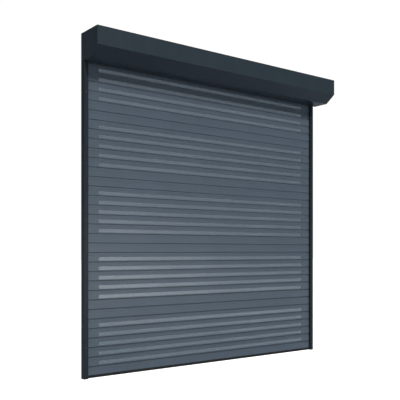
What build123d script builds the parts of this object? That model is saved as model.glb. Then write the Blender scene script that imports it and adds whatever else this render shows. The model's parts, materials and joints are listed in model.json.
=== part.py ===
from build123d import *
import os

# A closed roller shutter door: headbox, guide rails, slatted curtain and tubular drive.
# Millimetres. X runs along the door, +Y points into the wall and +Z up.
# The origin lies on the wall face, midway between the rails and between their outer wall screws.

os.makedirs("parts", exist_ok=True)

# The door as a whole
rail_span = 2659.0  # outer side of one guide rail to the outer side of the other
hood_overhang = 77.0  # how far the headbox runs past the right rail, round the motor head
slat_pitch = 77.0
visible_slats = 32
hidden_slats = 1
lowest_joint = 91.0  # height of the lowest joint line above the floor
window_slats = 5  # slats with a window in each group, counted from the floor
plain_slats = 2  # plain slats between two groups

# Clearances
seat_gap = 0.3  # between pieces that sit on each other
slide_gap = 1.5  # between the curtain and what it slides past
running_gap = 0.05  # radial, between a shaft and its bearing

# Guide rails, an extruded section with a slot between two chambers
rail_width = 40.0
rail_depth = 49.0
rail_wall = 2.0
rail_edge_radius = 1.5
slot_setback = 11.5  # wall face to the slot
slot_width = 20.0
brush_width = 6.0

# Wall screws of the rails: two near the ends of each rail and one in its middle
fixing_inset = 250.0
fixing_radius = 3.5
access_radius = 7.0
cap_stand = 0.8  # how far a hole cap stands proud of the rail
cap_depth = 3.5  # how far it reaches into the rail

# Slat section. Heights are measured down from the joint line at the top of a slat
slat_thickness = 13.0
slat_wall = 1.5
slat_entry = 27.0  # how far a slat reaches into each rail
shoulder_drop = 4.5
neck_band = 16.0  # height of the set-back band under the joint
neck_setback = 2.0
groove_height = 1.5
groove_depth = 1.0
back_relief_drop = 12.0
back_relief = 1.5
lip_rise = 4.5  # front lip of the slat above, over the joint line
jaw_rise = 2.3  # rear jaw of the slat above, over the joint line
jaw_reach = 1.2  # rear jaw tip, behind the middle of the slat
knuckle_rise = 5.0  # turning point of the joint, over the joint line
hook_radius = 2.6
hook_sides = 12  # the round bead is drawn with flats, which keeps 33 slats light
hook_play = 0.4
neck_thickness = 2.0
edge_bevel = 1.0

# Windows, open through the whole slat and closed by a clear strip inside it
window_foot = 12.0  # lower edge of a window, over the joint line below its slat
window_height = 30.0
window_margin = 105.0  # rail face to the end of a window
strip_thickness = 2.5
strip_lap = 2.2  # how far a strip reaches past the window, above and below
strip_end_lap = 15.0

# End locks
lock_thickness = 3.0
lock_tongue = 12.0
lock_height = 60.0

# Bottom bar and seal
seal_height = 24.0
seal_width = 11.0
seal_wall = 2.0
groove_neck = 4.0
groove_head = 8.0
groove_head_height = 2.5
groove_lip = 1.5
seal_corner = 4.0

# Headbox
hood_height = 225.0
hood_depth = 270.0
hood_face = 147.0  # height of the vertical front face
hood_underside = 167.0  # depth of the flat underside
sheet = 2.0
bend_radius = 3.0
end_plate = 3.0
flange = 12.0
cover_lip = 15.0
back_lip = 8.0

# Winding tube and its axis
tube_flats = 70.0
tube_wall = 1.5
cap_length = 60.0
cap_flange = 4.0
pin_radius = 8.0
crown_length = 20.0
motor_radius = 25.0
motor_length = 560.0
motor_head_radius = 32.0
motor_head_length = 22.0
drive_shaft_radius = 7.0
drive_shaft_length = 15.0
bracket_width = 90.0
bracket_plate = 4.0
boss_radius = 20.0
boss_length = 14.0
bolt_radius = 4.0
bolt_head_radius = 6.5
bolt_head_height = 5.0
bolt_spacing = 66.0  # across and up, between the two bolts of a bracket
bolt_reach = 2.5  # into the side plate
tube_room = 10.0  # between the tube's end fittings and the brackets

# Hanger straps
strap_count = 3
strap_width = 30.0
strap_thickness = 1.0
clip_height = 12.0  # over the turning point of the joint
strap_lead = 8.0  # along the tube's upper rear flat, from its middle
strap_lift = 14.0
strap_rise = 19.0
strap_bend = 9.0

# Inlet funnels
funnel_height = 40.0
funnel_mouth = 34.0
funnel_straight = 8.0
peg_length = 40.0
peg_gap = 0.5

# Cover screws
screw_radius = 2.0
screw_head_radius = 4.0
screw_head_height = 2.0
screw_end = 1.7

# Places worked out from the sizes
rail_height = visible_slats * slat_pitch + lowest_joint
sill = -rail_height / 2
hood_bottom = sill + rail_height
hood_top = hood_bottom + hood_height
knee = hood_top - hood_face
left_end = -rail_span / 2
right_end = rail_span / 2 + hood_overhang
clear_width = rail_span - 2 * rail_width
slat_length = clear_width + 2 * slat_entry
slat_count = visible_slats + hidden_slats
curtain_y = -(slot_setback + slot_width / 2)
curtain_front = curtain_y - slat_thickness / 2
slot_front = -(slot_setback + slot_width)
axis_y = -hood_depth / 2
axis_z = hood_bottom + hood_height / 2
left_plate_inside = left_end + end_plate
drive_plate_inside = rail_span / 2 - end_plate
window_length = clear_width - 2 * window_margin
chamber_top = shoulder_drop + neck_band + groove_height + slat_wall
chamber_bottom = slat_pitch - knuckle_rise - hook_radius - hook_play - slat_wall


def section(x, y=0.0, z=0.0):
    """A plane across the door at x: its own x runs to the back, its y runs up and it faces +X."""
    return Plane(origin=(x, y, z), x_dir=(0, 1, 0), z_dir=(1, 0, 0))


def save(part, label):
    """Names a finished piece and writes it."""
    part.label = label
    export_step(part, f"parts/{label}.step")


def octagon(apothem, **options):
    """Eight flats at the same distance from the middle, two of them level."""
    RegularPolygon(apothem, 8, major_radius=False, rotation=180 / 8, **options)


def make_rail(side, label):
    """A guide rail; side is -1 on the left and 1 on the right."""
    middle = side * (rail_span - rail_width) / 2
    front_chamber = rail_depth - slot_setback - slot_width - 2 * rail_wall
    back_chamber = slot_setback - 2 * rail_wall
    inside = rail_width - 2 * rail_wall
    with BuildPart() as rail:
        with BuildSketch(Plane.XY.offset(sill)):
            with Locations((middle, -rail_depth / 2)):
                Rectangle(rail_width, rail_depth)
            with Locations((middle - side * rail_wall / 2, curtain_y)):
                Rectangle(rail_width - rail_wall, slot_width, mode=Mode.SUBTRACT)
            with Locations((middle, -rail_depth + rail_wall + front_chamber / 2)):
                Rectangle(inside, front_chamber, mode=Mode.SUBTRACT)
            with Locations((middle, -rail_wall - back_chamber / 2)):
                Rectangle(inside, back_chamber, mode=Mode.SUBTRACT)
        extrude(amount=hood_bottom - sill)
        front_edges = rail.edges().filter_by(Axis.Z).group_by(Axis.Y)[0]
        fillet(front_edges, radius=rail_edge_radius)
        spots = [Plane(origin=(middle, -rail_depth, z), z_dir=(0, -1, 0)) for z in fixing_heights]
        with Locations(*spots):
            CounterBoreHole(fixing_radius, access_radius, rail_depth - rail_wall, rail_depth)
    save(rail.part, label)


fixing_heights = [sill + fixing_inset, sill + rail_height / 2, hood_bottom - fixing_inset]
make_rail(-1, "guide_rail_left")
make_rail(1, "guide_rail_right")

# Plugs in the front holes of the rails
with BuildPart() as rail_hole_caps:
    hole_x = (rail_span - rail_width) / 2
    holes = [(x, z) for x in (-hole_x, hole_x) for z in fixing_heights]
    cap_face = -rail_depth - cap_stand
    with BuildSketch(Plane(origin=(0, cap_face, 0), x_dir=(1, 0, 0), z_dir=(0, -1, 0))):
        with Locations(*holes):
            Circle(access_radius - seat_gap)
    extrude(amount=-cap_stand - cap_depth)
save(rail_hole_caps.part, "rail_hole_caps")

# Brush strips along both sides of the slot mouths
with BuildPart() as rail_brushes:
    brush_depth = (slot_width - slat_thickness) / 2 - slide_gap
    brush_x = (clear_width + brush_width) / 2
    brush_y = (slot_width - brush_depth) / 2
    with BuildSketch(Plane.XY.offset(sill)):
        with Locations((0, curtain_y)):
            with GridLocations(2 * brush_x, 2 * brush_y, 2, 2):
                Rectangle(brush_width, brush_depth)
    extrude(amount=hood_bottom - sill)
save(rail_brushes.part, "rail_brushes")


def make_funnel(side, label):
    """An inlet funnel on top of a rail, with a peg in the rail's front chamber."""
    outside = rail_span / 2 - end_plate - seat_gap
    inside = clear_width / 2 + rail_wall
    width = outside - inside
    start = min(side * inside, side * outside)
    back = -sheet - seat_gap
    front = -rail_depth + rail_wall
    with BuildPart() as funnel:
        with BuildSketch(section(start)):
            with BuildLine():
                Polyline(
                    (front, hood_bottom),
                    (slot_front, hood_bottom),
                    (slot_front, hood_bottom + funnel_straight),
                    (curtain_y - funnel_mouth / 2, hood_bottom + funnel_height),
                    (front, hood_bottom + funnel_height),
                    close=True,
                )
            make_face()
            with BuildLine():
                Polyline(
                    (back, hood_bottom),
                    (-slot_setback, hood_bottom),
                    (-slot_setback, hood_bottom + funnel_straight),
                    (curtain_y + funnel_mouth / 2, hood_bottom + funnel_height),
                    (back, hood_bottom + funnel_height),
                    close=True,
                )
            make_face()
        extrude(amount=width)
        # the web that joins both jaws lies past the slat ends
        web = outside - (slat_length / 2 + lock_thickness + slide_gap)
        web_start = outside - web if side > 0 else -outside
        with BuildSketch(section(web_start)):
            with Locations(((front + back) / 2, hood_bottom + funnel_height / 2)):
                Rectangle(back - front, funnel_height)
        extrude(amount=web)
        peg_depth = rail_depth - slot_setback - slot_width - 2 * rail_wall - 2 * peg_gap
        peg_width = rail_width - 2 * rail_wall - 2 * peg_gap
        with BuildSketch(Plane.XY.offset(hood_bottom)):
            peg_y = -rail_depth + rail_wall + peg_gap + peg_depth / 2
            with Locations((side * (rail_span - rail_width) / 2, peg_y)):
                Rectangle(peg_width, peg_depth)
        extrude(amount=-peg_length)
    save(funnel.part, label)


make_funnel(-1, "inlet_funnel_left")
make_funnel(1, "inlet_funnel_right")

# Headbox sheets
sheet_length = right_end - end_plate - left_plate_inside
notch_width = rail_width + seat_gap
notches = [side * (rail_span - notch_width) / 2 for side in (-1, 1)]
screw_x = [left_plate_inside + flange / 2, left_plate_inside + sheet_length - flange / 2]
screw_y = -(rail_depth + hood_underside) / 2
screw_spots = [(x, screw_y, hood_bottom) for x in screw_x]

with BuildPart() as hood_back_panel:
    with BuildSketch(section(left_plate_inside)):
        with BuildLine():
            FilletPolyline(
                (-back_lip, hood_bottom),
                (0, hood_bottom),
                (0, hood_top),
                (-hood_depth, hood_top),
                radius=bend_radius,
            )
            offset(amount=sheet, side=Side.LEFT)
        make_face()
    extrude(amount=sheet_length)
    with Locations(*[(x, -back_lip / 2 - sheet, hood_bottom) for x in notches]):
        Box(notch_width, back_lip, 4 * sheet, mode=Mode.SUBTRACT)
save(hood_back_panel.part, "hood_back_panel")

with BuildPart() as hood_front_cover:
    cover_top = hood_top - sheet - seat_gap
    cover_back = slot_front - sheet
    with BuildSketch(section(left_plate_inside)):
        with BuildLine():
            FilletPolyline(
                (-hood_depth + cover_lip, cover_top),
                (-hood_depth, cover_top),
                (-hood_depth, knee),
                (-hood_underside, hood_bottom),
                (cover_back, hood_bottom),
                (cover_back, hood_bottom + flange),
                radius=bend_radius,
            )
            offset(amount=sheet, side=Side.LEFT)
        make_face()
    extrude(amount=sheet_length)
    notch_depth = rail_depth + cover_back + seat_gap
    with Locations(*[(x, cover_back - notch_depth / 2, hood_bottom) for x in notches]):
        Box(notch_width, notch_depth, 3 * flange, mode=Mode.SUBTRACT)
    with Locations(*screw_spots):
        Cylinder(screw_radius + seat_gap, 6 * sheet, mode=Mode.SUBTRACT)
save(hood_front_cover.part, "hood_front_cover")

# Plates across the headbox: both ends, and one beside the right rail that carries the motor
plate_room = sheet + seat_gap
bolt_places = [(-bolt_spacing / 2, bolt_spacing / 2), (bolt_spacing / 2, -bolt_spacing / 2)]


def hood_outline():
    Polyline(
        (0, hood_bottom),
        (0, hood_top),
        (-hood_depth, hood_top),
        (-hood_depth, knee),
        (-hood_underside, hood_bottom),
        close=True,
    )


def lip_relief():
    """Leaves room for the upper lip of the front cover."""
    with Locations((-hood_depth, hood_top)):
        Rectangle(2 * (cover_lip + seat_gap), 4 * plate_room, mode=Mode.SUBTRACT)


def rail_relief():
    """Leaves room for the curtain, the funnel and the rear lip of the front cover."""
    with Locations((0, hood_bottom)):
        Rectangle(2 * (rail_depth + seat_gap), 2 * (funnel_height + seat_gap), mode=Mode.SUBTRACT)


def make_plate(x, flange_side, inset, label):
    flange_start = x + end_plate if flange_side > 0 else x - flange
    inner_face = x + end_plate if x < 0 else x
    with BuildPart() as plate:
        with BuildSketch(section(flange_start)):
            with BuildLine():
                hood_outline()
            make_face()
            offset(amount=-plate_room, kind=Kind.INTERSECTION)
            offset(amount=-sheet, kind=Kind.INTERSECTION, mode=Mode.SUBTRACT)
            lip_relief()
            rail_relief()
        extrude(amount=flange)
        with BuildSketch(section(x)):
            with BuildLine():
                hood_outline()
            make_face()
            if inset > 0:
                offset(amount=-inset, kind=Kind.INTERSECTION)
                lip_relief()
        extrude(amount=end_plate)
        if inset == 0:
            with Locations(*screw_spots):
                Cylinder(screw_radius + seat_gap, 6 * sheet, mode=Mode.SUBTRACT)
        if label != "end_plate_right":
            with BuildSketch(section(inner_face, axis_y, axis_z)):
                with Locations(*bolt_places):
                    Circle(bolt_radius + seat_gap)
            extrude(amount=-bolt_reach if x < 0 else bolt_reach, mode=Mode.SUBTRACT)
    save(plate.part, label)


make_plate(left_end, 1, 0, "end_plate_left")
make_plate(right_end - end_plate, -1, 0, "end_plate_right")
make_plate(drive_plate_inside, 1, plate_room, "motor_side_plate")

with BuildPart() as cover_screws:
    spots = [spot[:2] for spot in screw_spots]
    with BuildSketch(Plane.XY.offset(hood_bottom)):
        with Locations(*spots):
            Circle(screw_head_radius)
    extrude(amount=-screw_head_height)
    with BuildSketch(Plane.XY.offset(hood_bottom)):
        with Locations(*spots):
            Circle(screw_radius)
    extrude(amount=2 * sheet + seat_gap + screw_end)
save(cover_screws.part, "cover_screws")


def bracket_outline():
    """The square plate that carries an end of the winding tube, with its two bolt holes."""
    Rectangle(bracket_width, bracket_width)
    with Locations(*bolt_places):
        Circle(bolt_radius + seat_gap, mode=Mode.SUBTRACT)


with BuildPart() as idler_bearing:
    with BuildSketch(section(left_plate_inside, axis_y, axis_z)):
        bracket_outline()
    extrude(amount=bracket_plate)
    with BuildSketch(section(left_plate_inside + bracket_plate, axis_y, axis_z)):
        Circle(boss_radius)
    extrude(amount=boss_length)
    with BuildSketch(section(left_plate_inside, axis_y, axis_z)):
        Circle(pin_radius + running_gap)
    extrude(amount=bracket_plate + boss_length, mode=Mode.SUBTRACT)
save(idler_bearing.part, "idler_bearing")

motor_face = drive_plate_inside - bracket_plate - motor_head_length
with BuildPart() as motor_bracket:
    with BuildSketch(section(drive_plate_inside - bracket_plate, axis_y, axis_z)):
        bracket_outline()
    extrude(amount=bracket_plate)
save(motor_bracket.part, "motor_bracket")

with BuildPart() as bracket_bolts:
    for head_face, inwards in (
        (left_plate_inside + bracket_plate, 1),
        (drive_plate_inside - bracket_plate, -1),
    ):
        with BuildSketch(section(head_face, axis_y, axis_z)):
            with Locations(*bolt_places):
                RegularPolygon(bolt_head_radius, 6)
        extrude(amount=inwards * bolt_head_height)
        with BuildSketch(section(head_face, axis_y, axis_z)):
            with Locations(*bolt_places):
                Circle(bolt_radius)
        extrude(amount=-inwards * (bracket_plate + bolt_reach - seat_gap))
save(bracket_bolts.part, "bracket_bolts")

# Tubular motor: it stands still inside the winding tube
with BuildPart() as motor_head:
    with BuildSketch(section(motor_face, axis_y, axis_z)):
        Circle(motor_head_radius)
    extrude(amount=motor_head_length)
save(motor_head.part, "motor_head")

motor_end = motor_face - motor_length
with BuildPart() as motor_body:
    with BuildSketch(section(motor_end, axis_y, axis_z)):
        Circle(motor_radius)
    extrude(amount=motor_length)
    with BuildSketch(section(motor_end, axis_y, axis_z)):
        Circle(drive_shaft_radius + running_gap)
    extrude(amount=drive_shaft_length + seat_gap, mode=Mode.SUBTRACT)
save(motor_body.part, "motor_body")

# Winding tube and what turns with it
tube_start = left_plate_inside + bracket_plate + boss_length + tube_room + cap_flange
tube_stop = motor_face - tube_room
plug_apothem = tube_flats / 2 - tube_wall - seat_gap

with BuildPart() as winding_tube:
    with BuildSketch(section(tube_start, axis_y, axis_z)):
        octagon(tube_flats / 2)
        octagon(tube_flats / 2 - tube_wall, mode=Mode.SUBTRACT)
    extrude(amount=tube_stop - tube_start)
save(winding_tube.part, "winding_tube")

with BuildPart() as idler_cap:
    with BuildSketch(section(tube_start - cap_flange, axis_y, axis_z)):
        octagon(tube_flats / 2)
    extrude(amount=cap_flange)
    with BuildSketch(section(tube_start, axis_y, axis_z)):
        octagon(plug_apothem)
    extrude(amount=cap_length)
    with BuildSketch(section(tube_start - cap_flange, axis_y, axis_z)):
        Circle(pin_radius + running_gap)
    extrude(amount=cap_flange + cap_length, mode=Mode.SUBTRACT)
save(idler_cap.part, "idler_cap")

with BuildPart() as idler_pin:
    with BuildSketch(section(left_plate_inside + seat_gap, axis_y, axis_z)):
        Circle(pin_radius)
    extrude(amount=tube_start + cap_length - left_plate_inside - seat_gap)
save(idler_pin.part, "idler_pin")

with BuildPart() as limit_ring:
    with BuildSketch(section(tube_stop - crown_length, axis_y, axis_z)):
        octagon(plug_apothem)
        Circle(motor_radius + seat_gap, mode=Mode.SUBTRACT)
    extrude(amount=crown_length)
save(limit_ring.part, "limit_ring")

with BuildPart() as drive_crown:
    crown_face = motor_end - seat_gap
    with BuildSketch(section(crown_face - crown_length, axis_y, axis_z)):
        octagon(plug_apothem)
    extrude(amount=crown_length)
    with BuildSketch(section(crown_face, axis_y, axis_z)):
        Circle(drive_shaft_radius)
    extrude(amount=drive_shaft_length)
save(drive_crown.part, "drive_crown")


def joint_height(number):
    """The joint line at the top of a slat. Slats count from 1 at the floor; 0 is the bottom bar."""
    return sill + lowest_joint + number * slat_pitch


def has_window(number):
    return (number - 1) % (window_slats + plain_slats) < window_slats


def window_middle(number):
    return joint_height(number - 1) + window_foot + window_height / 2


def corner_rectangle(left, right, bottom, top, **options):
    """A rectangle between two x and two y values of the sketch."""
    with Locations(((left + right) / 2, (bottom + top) / 2)):
        Rectangle(right - left, top - bottom, **options)


def hook_and_shoulder():
    """The hook at the top of a slat, its neck, and the set-back band under it, cut from the body."""
    half = slat_thickness / 2
    with Locations((0, knuckle_rise)):
        RegularPolygon(hook_radius, hook_sides)
    corner_rectangle(-neck_thickness / 2, neck_thickness / 2, -shoulder_drop, knuckle_rise)
    band_end = -shoulder_drop - neck_band
    corner_rectangle(-half, -half + neck_setback, band_end, -shoulder_drop, mode=Mode.SUBTRACT)
    corner_rectangle(half - back_relief, half, -back_relief_drop, -shoulder_drop, mode=Mode.SUBTRACT)
    corner_rectangle(
        -half,
        -half + neck_setback + groove_depth,
        band_end - groove_height,
        band_end,
        mode=Mode.SUBTRACT,
    )


def neck_chamber():
    """The small hollow behind the set-back band."""
    corner_rectangle(
        -slat_thickness / 2 + neck_setback + slat_wall,
        slat_thickness / 2 - back_relief - slat_wall,
        -shoulder_drop - neck_band + slat_wall,
        -shoulder_drop - slat_wall,
        mode=Mode.SUBTRACT,
    )


def socket(joint):
    """The socket that holds the hook below, open to the front so that the curtain winds that way."""
    half = slat_thickness / 2
    corner_rectangle(-half, jaw_reach, joint, joint + lip_rise, mode=Mode.SUBTRACT)
    with Locations((0, joint + knuckle_rise)):
        octagon(hook_radius + hook_play, mode=Mode.SUBTRACT)


def ease_front_corners(sketch):
    """Bevels the front lip, the front edge under the set-back band and the front of the shoulder."""
    front = sketch.vertices().group_by(Axis.X)[0]
    below_hook = [corner for corner in sketch.vertices() if corner.Y < -shoulder_drop / 2]
    shoulder = ShapeList(below_hook).group_by(Axis.Y)[-1].sort_by(Axis.X)[0]
    chamfer(front + [shoulder], length=edge_bevel)


def make_slat(number):
    """A slat of the curtain; its socket holds the hook of the slat or bar below it."""
    half = slat_thickness / 2
    joint = joint_height(number)
    with BuildPart() as slat:
        with BuildSketch(section(-slat_length / 2, curtain_y, joint)) as profile:
            corner_rectangle(-half, half, -slat_pitch + jaw_rise, -shoulder_drop)
            hook_and_shoulder()
            socket(-slat_pitch)
            ease_front_corners(profile)
            neck_chamber()
            corner_rectangle(
                -half + slat_wall,
                half - slat_wall,
                -chamber_bottom,
                -chamber_top,
                mode=Mode.SUBTRACT,
            )
        extrude(amount=slat_length)
        if has_window(number):
            with Locations((0, curtain_y, window_middle(number))):
                Box(window_length, 2 * slat_thickness, window_height, mode=Mode.SUBTRACT)
    save(slat.part, f"slat_{number:02d}")


for number in range(1, slat_count + 1):
    make_slat(number)

with BuildPart() as window_strips:
    strip_front = curtain_front + slat_wall + seat_gap
    centres = [
        (strip_front + strip_thickness / 2, window_middle(number))
        for number in range(1, slat_count + 1)
        if has_window(number)
    ]
    strip_length = window_length + 2 * strip_end_lap
    with BuildSketch(section(-strip_length / 2)):
        with Locations(*centres):
            Rectangle(strip_thickness, window_height + 2 * strip_lap)
    extrude(amount=strip_length)
save(window_strips.part, "window_strips")

with BuildPart() as slat_end_locks:
    middle = -(chamber_top + chamber_bottom) / 2
    locked = [(0, joint_height(number) + middle) for number in range(1, slat_count + 1, 2)]
    for side in (-1, 1):
        with BuildSketch(section(side * slat_length / 2, curtain_y)):
            with Locations(*locked):
                Rectangle(slat_thickness - 2 * seat_gap, lock_height)
        extrude(amount=side * lock_thickness)
        with BuildSketch(section(side * slat_length / 2, curtain_y)):
            with Locations(*locked):
                Rectangle(
                    slat_thickness - 2 * slat_wall - 2 * seat_gap,
                    chamber_bottom - chamber_top - 2 * seat_gap,
                )
        extrude(amount=-side * lock_tongue)
save(slat_end_locks.part, "slat_end_locks")

with BuildPart() as bottom_bar:
    half = slat_thickness / 2
    bar_foot = seal_height - lowest_joint
    slot_top = bar_foot + groove_lip + groove_head_height
    bar_rib = (slot_top - shoulder_drop - neck_band) / 2
    with BuildSketch(section(-slat_length / 2, curtain_y, joint_height(0))) as bar_profile:
        corner_rectangle(-half, half, bar_foot, -shoulder_drop)
        hook_and_shoulder()
        ease_front_corners(bar_profile)
        neck_chamber()
        corner_rectangle(
            -half + slat_wall, half - slat_wall, bar_rib + slat_wall / 2, -chamber_top, mode=Mode.SUBTRACT
        )
        corner_rectangle(
            -half + slat_wall,
            half - slat_wall,
            slot_top + slat_wall,
            bar_rib - slat_wall / 2,
            mode=Mode.SUBTRACT,
        )
        corner_rectangle(
            -groove_head / 2, groove_head / 2, bar_foot + groove_lip, slot_top, mode=Mode.SUBTRACT
        )
        corner_rectangle(
            -groove_neck / 2, groove_neck / 2, bar_foot, bar_foot + groove_lip, mode=Mode.SUBTRACT
        )
    extrude(amount=slat_length)
save(bottom_bar.part, "bottom_bar")

with BuildPart() as bottom_seal:
    bar_underside = sill + seal_height
    with BuildSketch(section(-slat_length / 2, curtain_y)):
        with Locations((0, sill + seal_height / 2)):
            RectangleRounded(seal_width, seal_height, seal_corner)
            Rectangle(seal_width - 2 * seal_wall, seal_height - 2 * seal_wall, mode=Mode.SUBTRACT)
        corner_rectangle(
            -groove_neck / 2 + seat_gap,
            groove_neck / 2 - seat_gap,
            bar_underside - seal_wall / 2,
            bar_underside + groove_lip + seat_gap,
        )
        corner_rectangle(
            -groove_head / 2 + seat_gap,
            groove_head / 2 - seat_gap,
            bar_underside + groove_lip + seat_gap,
            bar_underside + groove_lip + groove_head_height - seat_gap,
        )
    extrude(amount=slat_length)
save(bottom_seal.part, "bottom_seal")

# Hanger straps: spring steel from the tube to a clip on the hook of the top slat
with BuildPart() as hanger_straps:
    top_joint = joint_height(slat_count)
    clip_top = top_joint + knuckle_rise + clip_height
    facet = (tube_flats / 2 + seat_gap) / 2**0.5
    strap_step = clear_width / strap_count
    for index in range(strap_count):
        start = (index + 0.5) * strap_step - clear_width / 2 - strap_width / 2
        with BuildSketch(section(start, curtain_y, top_joint)):
            half = slat_thickness / 2
            corner_rectangle(-half, half, jaw_rise, knuckle_rise + clip_height)
            socket(0)
        extrude(amount=strap_width)
        with BuildSketch(section(start)):
            with BuildLine():
                FilletPolyline(
                    (axis_y + facet - strap_lead, axis_z + facet + strap_lead),
                    (axis_y + facet + strap_lift, axis_z + facet - strap_lift),
                    (curtain_y, clip_top + strap_rise),
                    (curtain_y, clip_top - strap_thickness),
                    radius=strap_bend,
                )
                offset(amount=strap_thickness, side=Side.LEFT)
            make_face()
        extrude(amount=strap_width)
save(hanger_straps.part, "hanger_straps")
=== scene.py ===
# %% [markdown]
# Roller shutter door
# The construction comes in as a fixed frame: rails, headbox, slats and drive at their real size.
# This lesson gives every surface its finish, models the small pieces that a plain solid can't
# show well, and sets up light and camera. Everything is in metres, with +Z up and the front
# of the door facing -Y.

# %% Load the frame
import bpy
import json
import math
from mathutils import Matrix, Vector


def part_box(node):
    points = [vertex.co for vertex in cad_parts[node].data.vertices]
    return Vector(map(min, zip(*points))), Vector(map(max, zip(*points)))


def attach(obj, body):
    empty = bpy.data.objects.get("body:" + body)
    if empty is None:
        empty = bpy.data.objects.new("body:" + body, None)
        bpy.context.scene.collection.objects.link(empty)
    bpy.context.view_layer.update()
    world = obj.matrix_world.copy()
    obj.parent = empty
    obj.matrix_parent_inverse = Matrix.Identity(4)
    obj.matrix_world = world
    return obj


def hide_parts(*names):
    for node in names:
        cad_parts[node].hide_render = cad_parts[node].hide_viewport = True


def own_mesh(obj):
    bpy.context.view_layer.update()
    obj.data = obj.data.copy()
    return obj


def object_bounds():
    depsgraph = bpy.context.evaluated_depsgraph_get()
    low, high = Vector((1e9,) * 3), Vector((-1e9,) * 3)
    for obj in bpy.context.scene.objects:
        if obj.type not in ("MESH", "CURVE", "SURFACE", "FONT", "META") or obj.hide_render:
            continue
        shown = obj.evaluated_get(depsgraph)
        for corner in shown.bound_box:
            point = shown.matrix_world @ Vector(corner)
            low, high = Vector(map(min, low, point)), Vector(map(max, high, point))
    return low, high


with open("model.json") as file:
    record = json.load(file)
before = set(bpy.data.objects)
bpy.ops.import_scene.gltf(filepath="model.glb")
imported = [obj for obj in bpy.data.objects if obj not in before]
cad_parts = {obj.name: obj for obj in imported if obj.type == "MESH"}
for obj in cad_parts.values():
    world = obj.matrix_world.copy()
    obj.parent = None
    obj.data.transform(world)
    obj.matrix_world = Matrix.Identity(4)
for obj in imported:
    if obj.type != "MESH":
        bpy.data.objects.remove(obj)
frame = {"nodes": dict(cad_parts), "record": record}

cad_low, cad_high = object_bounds()
nodes = frame["nodes"]
millimetre = 0.001
print(len(nodes), "nodes,", [round(side, 3) for side in cad_high - cad_low], "m")

# %% [markdown]
# The photograph was taken from the front left, a little over one metre above the floor. The
# lines of the slats and the short edges of the headbox run to two vanishing points on a level
# horizon, so the camera is level too. A small upward shift of the lens brings the tall door
# into the square picture.

# %% Camera
floor_height = cad_low.z
eye_height = 1.026
camera_spot = Vector((-3.7935, -4.782, floor_height + eye_height))
camera_turn = math.radians(37.51)
level_view = math.radians(90)  # a camera that isn't turned looks straight down

camera_data = bpy.data.cameras.new("photo_camera")
camera_data.lens = 59.17
camera_data.sensor_width = 36.0
camera_data.shift_y = 0.1284
camera_data.clip_end = 200.0
camera = bpy.data.objects.new("photo_camera", camera_data)
camera.location = camera_spot
camera.rotation_euler = (level_view, 0, -camera_turn)
bpy.context.scene.collection.objects.link(camera)
bpy.context.scene.camera = camera
print("camera at", [round(value, 3) for value in camera.location])

# %% [markdown]
# Shaders are built from nodes. A few helpers keep that short: they add a node with its plain
# properties, make a node group with named inputs and outputs, place it in a material, and do
# small sums and mixes. An effect that several finishes share, such as powder grain or dust,
# becomes one group that each finish places with its own values.

# %% Node helpers
mix_inputs = (0, 6, 7)  # a Mix node's factor and its two colours
mix_output = 2  # its colour


def add_node(tree, kind, **settings):
    """Adds a node to a tree and sets its plain properties."""
    node = tree.nodes.new(kind)
    for name, value in settings.items():
        setattr(node, name, value)
    return node


def new_group(name, inputs, outputs):
    """A shader node group. Inputs are (label, socket type, value), outputs (label, socket type)."""
    group = bpy.data.node_groups.new(name, "ShaderNodeTree")
    for label, kind, value in inputs:
        socket = group.interface.new_socket(label, in_out="INPUT", socket_type=kind)
        socket.default_value = value
    for label, kind in outputs:
        group.interface.new_socket(label, in_out="OUTPUT", socket_type=kind)
    return group, add_node(group, "NodeGroupInput"), add_node(group, "NodeGroupOutput")


def place(tree, group, **values):
    """Puts a node group into a material and sets its inputs."""
    node = add_node(tree, "ShaderNodeGroup", node_tree=group)
    for label, value in values.items():
        node.inputs[label].default_value = value
    return node


def calculate(tree, operation, first, second):
    """A Math node. Each input is a socket or a number."""
    node = add_node(tree, "ShaderNodeMath", operation=operation)
    for socket, value in zip(node.inputs, (first, second)):
        if isinstance(value, (int, float)):
            socket.default_value = value
        else:
            tree.links.new(value, socket)
    return node.outputs[0]


def rescale(tree, value, low, high, new_low, new_high):
    """Maps a value from one range to another and clamps it there."""
    node = add_node(tree, "ShaderNodeMapRange", clamp=True)
    node.inputs["From Min"].default_value = low
    node.inputs["From Max"].default_value = high
    node.inputs["To Min"].default_value = new_low
    node.inputs["To Max"].default_value = new_high
    tree.links.new(value, node.inputs["Value"])
    return node.outputs[0]


def blend_colours(tree, factor, first, second):
    """A colour Mix node; first and second are sockets or plain colours."""
    node = add_node(tree, "ShaderNodeMix", data_type="RGBA")
    sockets = [node.inputs[number] for number in mix_inputs]
    for socket, value in zip(sockets, (factor, first, second)):
        if isinstance(value, (int, float, tuple)):
            socket.default_value = value
        else:
            tree.links.new(value, socket)
    return node.outputs[mix_output]


print("node helpers ready")

# %% [markdown]
# The door stands on a plain pale floor in a white room. The floor is far larger than the view,
# so that it runs out into the white of the world without a visible edge. A real white floor
# would throw much more light up at the door than the photograph shows. So the floor looks white
# where the camera sees it, directly or through a window strip, and is a quieter blue grey for
# the light that bounces between surfaces.

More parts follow.
